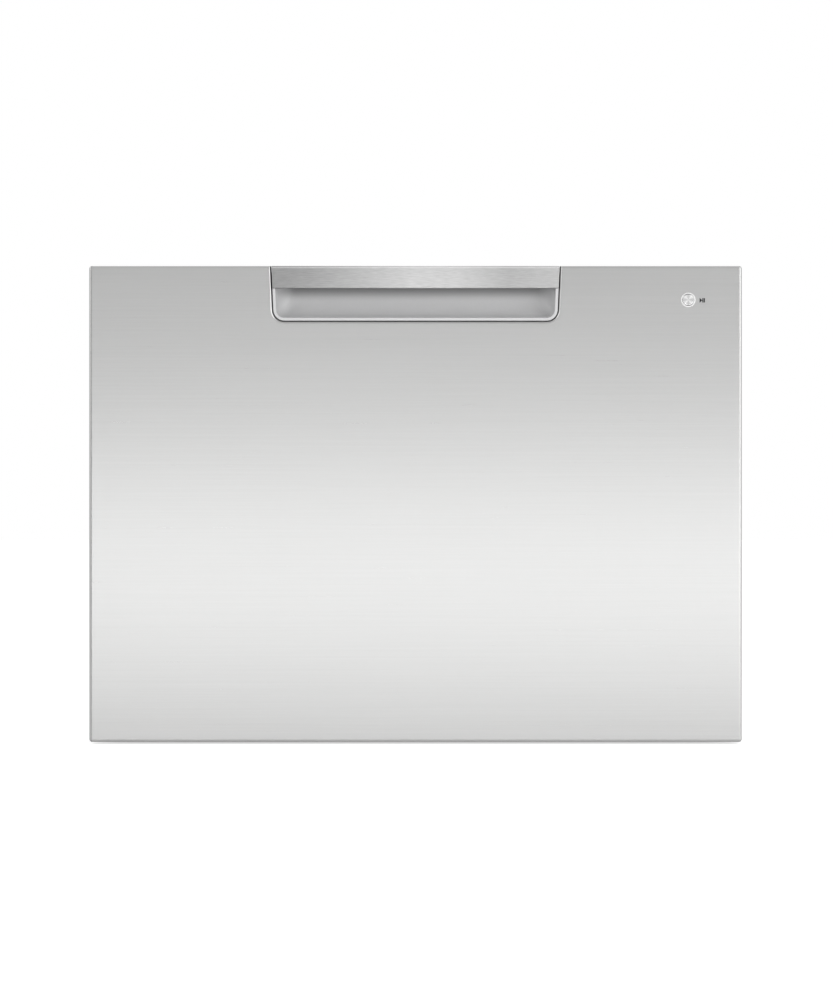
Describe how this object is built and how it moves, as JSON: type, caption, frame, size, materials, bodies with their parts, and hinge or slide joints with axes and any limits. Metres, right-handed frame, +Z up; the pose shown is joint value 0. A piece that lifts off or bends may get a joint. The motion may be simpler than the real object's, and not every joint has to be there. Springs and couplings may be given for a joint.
{
  "type": "dishwasher drawer",
  "caption": "Single dishwasher drawer with a brushed stainless front, finger pull, start button, sliding wash tub, racks and lifting lid.",
  "frame": {"origin": "centre of the footprint on the floor", "axes": "+X to the right seen from the front, -Y out of the front, +Z up"},
  "size_m": [0.599, 0.573, 0.439],
  "materials": {
    "galvanised_sheet": "satin",
    "black_plastic": "matte",
    "seal_rubber": "matte",
    "screw_steel": "satin",
    "runner_steel": "zinc plated",
    "grey_plastic": "matte",
    "foot_steel": "satin",
    "pale_plastic": "satin",
    "brushed_stainless": "horizontal brushing",
    "backing_board": "matte",
    "handle_stainless": "horizontal brushing",
    "scoop_plastic": "satin metallic",
    "button_metal": "spun",
    "display_black": "gloss",
    "key_plastic": "satin",
    "tub_plastic": "satin",
    "filter_steel": "satin",
    "spray_plastic": "satin",
    "rack_coating": "nylon coated steel wire",
    "basket_plastic": "satin"
  },
  "bodies": {
    "chassis": {"chassis_left": "galvanised_sheet", "chassis_right": "galvanised_sheet", "chassis_top": "galvanised_sheet", "chassis_back": "galvanised_sheet", "base_tray": "black_plastic", "front_seal": "seal_rubber", "mounting_clips": "galvanised_sheet", "chassis_screws": "screw_steel", "outer_runners": "runner_steel", "inlet_valve": "grey_plastic", "drain_spigot": "grey_plastic", "mains_inlet": "black_plastic", "lid_motors": "black_plastic", "lid_guides": "grey_plastic"},
    "drawer": {"inner_runners": "runner_steel", "front_panel": "brushed_stainless", "panel_backing": "backing_board", "handle_bar": "handle_stainless", "finger_scoop": "scoop_plastic", "button_ring": "button_metal", "drawer_frame": "grey_plastic", "control_deck": "black_plastic", "display_window": "display_black", "tub": "tub_plastic", "tub_brackets": "galvanised_sheet", "wash_motor": "black_plastic", "heater_plate": "screw_steel", "filter_plate": "filter_steel", "base_rack": "rack_coating", "fixed_tines": "rack_coating", "cutlery_basket": "basket_plastic", "basket_divider": "basket_plastic", "dispenser": "tub_plastic"},
    "lid": {"lid": "pale_plastic", "lid_seal": "seal_rubber"},
    "foot_front_left": {"foot_front_left": "foot_steel"},
    "foot_front_right": {"foot_front_right": "foot_steel"},
    "foot_rear_left": {"foot_rear_left": "foot_steel"},
    "foot_rear_right": {"foot_rear_right": "foot_steel"},
    "cam_bar_left": {"cam_bar_left": "galvanised_sheet"},
    "cam_bar_right": {"cam_bar_right": "galvanised_sheet"},
    "pinion_left": {"pinion_left": "pale_plastic"},
    "pinion_right": {"pinion_right": "pale_plastic"},
    "outer_ball_cages": {"outer_ball_cages": "runner_steel"},
    "middle_runners": {"middle_runners": "runner_steel"},
    "inner_ball_cages": {"inner_ball_cages": "runner_steel"},
    "start_button": {"start_button": "button_metal"},
    "key_power": {"key_power": "key_plastic"},
    "key_program": {"key_program": "key_plastic"},
    "key_option": {"key_option": "key_plastic"},
    "key_delay": {"key_delay": "key_plastic"},
    "rotor": {"rotor": "grey_plastic"},
    "drain_filter": {"drain_filter": "grey_plastic"},
    "spray_arm": {"spray_arm": "spray_plastic"},
    "tine_row_front": {"tine_row_front": "rack_coating"},
    "tine_row_rear": {"tine_row_rear": "rack_coating"},
    "cup_rack_left": {"cup_rack_left": "rack_coating"},
    "cup_rack_right": {"cup_rack_right": "rack_coating"},
    "dispenser_door": {"dispenser_door": "spray_plastic"},
    "rinse_cap": {"rinse_cap": "black_plastic"}
  },
  "joints": [
    {"name": "drawer_slide", "type": "slide", "parent": "chassis", "child": "drawer", "axis": [0, -1, 0], "range_m": [0, 0.47]},
    {"name": "outer_cage_roll", "type": "slide", "parent": "chassis", "child": "outer_ball_cages", "axis": [0, -1, 0], "range_m": [0, 0.1175]},
    {"name": "middle_runner_slide", "type": "slide", "parent": "chassis", "child": "middle_runners", "axis": [0, -1, 0], "range_m": [0, 0.235]},
    {"name": "inner_cage_roll", "type": "slide", "parent": "chassis", "child": "inner_ball_cages", "axis": [0, -1, 0], "range_m": [0, 0.3525]},
    {"name": "lid_lift", "type": "slide", "parent": "chassis", "child": "lid", "axis": [0, 0, 1], "range_m": [-0.008, 0]},
    {"name": "cam_bar_slide_left", "type": "slide", "parent": "chassis", "child": "cam_bar_left", "axis": [0, 1, 0], "range_m": [-0.024, 0]},
    {"name": "pinion_turn_left", "type": "hinge", "parent": "chassis", "child": "pinion_left", "pos_m": [-0.283, 0.2349, 0.39065], "axis": [1, 0, 0], "range_deg": [0, 138]},
    {"name": "cam_bar_slide_right", "type": "slide", "parent": "chassis", "child": "cam_bar_right", "axis": [0, 1, 0], "range_m": [-0.024, 0]},
    {"name": "pinion_turn_right", "type": "hinge", "parent": "chassis", "child": "pinion_right", "pos_m": [0.283, 0.2349, 0.39065], "axis": [1, 0, 0], "range_deg": [0, 138]},
    {"name": "foot_screw_front_left", "type": "slide", "parent": "chassis", "child": "foot_front_left", "axis": [0, 0, 1], "range_m": [-0.015, 0]},
    {"name": "foot_screw_front_right", "type": "slide", "parent": "chassis", "child": "foot_front_right", "axis": [0, 0, 1], "range_m": [-0.015, 0]},
    {"name": "foot_screw_rear_left", "type": "slide", "parent": "chassis", "child": "foot_rear_left", "axis": [0, 0, 1], "range_m": [-0.015, 0]},
    {"name": "foot_screw_rear_right", "type": "slide", "parent": "chassis", "child": "foot_rear_right", "axis": [0, 0, 1], "range_m": [-0.015, 0]},
    {"name": "start_press", "type": "slide", "parent": "drawer", "child": "start_button", "axis": [0, 1, 0], "range_m": [0, 0.001], "stiffness_N_per_m": 500, "springref_m": -0.002},
    {"name": "power_press", "type": "slide", "parent": "drawer", "child": "key_power", "axis": [0, 0, -1], "range_m": [0, 0.0008], "stiffness_N_per_m": 500, "springref_m": -0.0015},
    {"name": "program_press", "type": "slide", "parent": "drawer", "child": "key_program", "axis": [0, 0, -1], "range_m": [0, 0.0008], "stiffness_N_per_m": 500, "springref_m": -0.0015},
    {"name": "option_press", "type": "slide", "parent": "drawer", "child": "key_option", "axis": [0, 0, -1], "range_m": [0, 0.0008], "stiffness_N_per_m": 500, "springref_m": -0.0015},
    {"name": "delay_press", "type": "slide", "parent": "drawer", "child": "key_delay", "axis": [0, 0, -1], "range_m": [0, 0.0008], "stiffness_N_per_m": 500, "springref_m": -0.0015},
    {"name": "rotor_spin", "type": "hinge", "parent": "drawer", "child": "rotor", "pos_m": [0, -0.00345, 0.08], "axis": [0, 0, 1], "continuous": true},
    {"name": "spray_arm_spin", "type": "hinge", "parent": "drawer", "child": "spray_arm", "pos_m": [0, -0.00345, 0.112], "axis": [0, 0, 1], "continuous": true},
    {"name": "filter_turn", "type": "hinge", "parent": "drawer", "child": "drain_filter", "pos_m": [0.08, -0.00345, 0.09], "axis": [0, 0, 1], "range_deg": [0, 60]},
    {"name": "front_tines_fold", "type": "hinge", "parent": "drawer", "child": "tine_row_front", "pos_m": [0, 0.04855, 0.1479], "axis": [-1, 0, 0], "range_deg": [0, 85]},
    {"name": "rear_tines_fold", "type": "hinge", "parent": "drawer", "child": "tine_row_rear", "pos_m": [0, 0.12455, 0.1479], "axis": [-1, 0, 0], "range_deg": [0, 85]},
    {"name": "left_cup_rack_fold", "type": "hinge", "parent": "drawer", "child": "cup_rack_left", "pos_m": [-0.258, 0.04655, 0.268], "axis": [0, -1, 0], "range_deg": [0, 80]},
    {"name": "right_cup_rack_fold", "type": "hinge", "parent": "drawer", "child": "cup_rack_right", "pos_m": [0.258, 0.04655, 0.268], "axis": [0, 1, 0], "range_deg": [0, 80]},
    {"name": "dispenser_door_open", "type": "hinge", "parent": "drawer", "child": "dispenser_door", "pos_m": [-0.105, -0.192, 0.251], "axis": [-1, 0, 0], "range_deg": [0, 110]},
    {"name": "rinse_cap_turn", "type": "hinge", "parent": "drawer", "child": "rinse_cap", "pos_m": [-0.044, -0.1938, 0.292], "axis": [0, 1, 0], "range_deg": [0, 90]}
  ],
  "couplings": [
    {"joint": "middle_runner_slide", "follows": "drawer_slide", "ratio": 0.5},
    {"joint": "outer_cage_roll", "follows": "drawer_slide", "ratio": 0.25},
    {"joint": "inner_cage_roll", "follows": "drawer_slide", "ratio": 0.75},
    {"joint": "cam_bar_slide_left", "follows": "lid_lift", "ratio": 3},
    {"joint": "pinion_turn_left", "follows": "lid_lift", "rad_per_m": -300},
    {"joint": "cam_bar_slide_right", "follows": "lid_lift", "ratio": 3},
    {"joint": "pinion_turn_right", "follows": "lid_lift", "rad_per_m": -300}
  ]
}
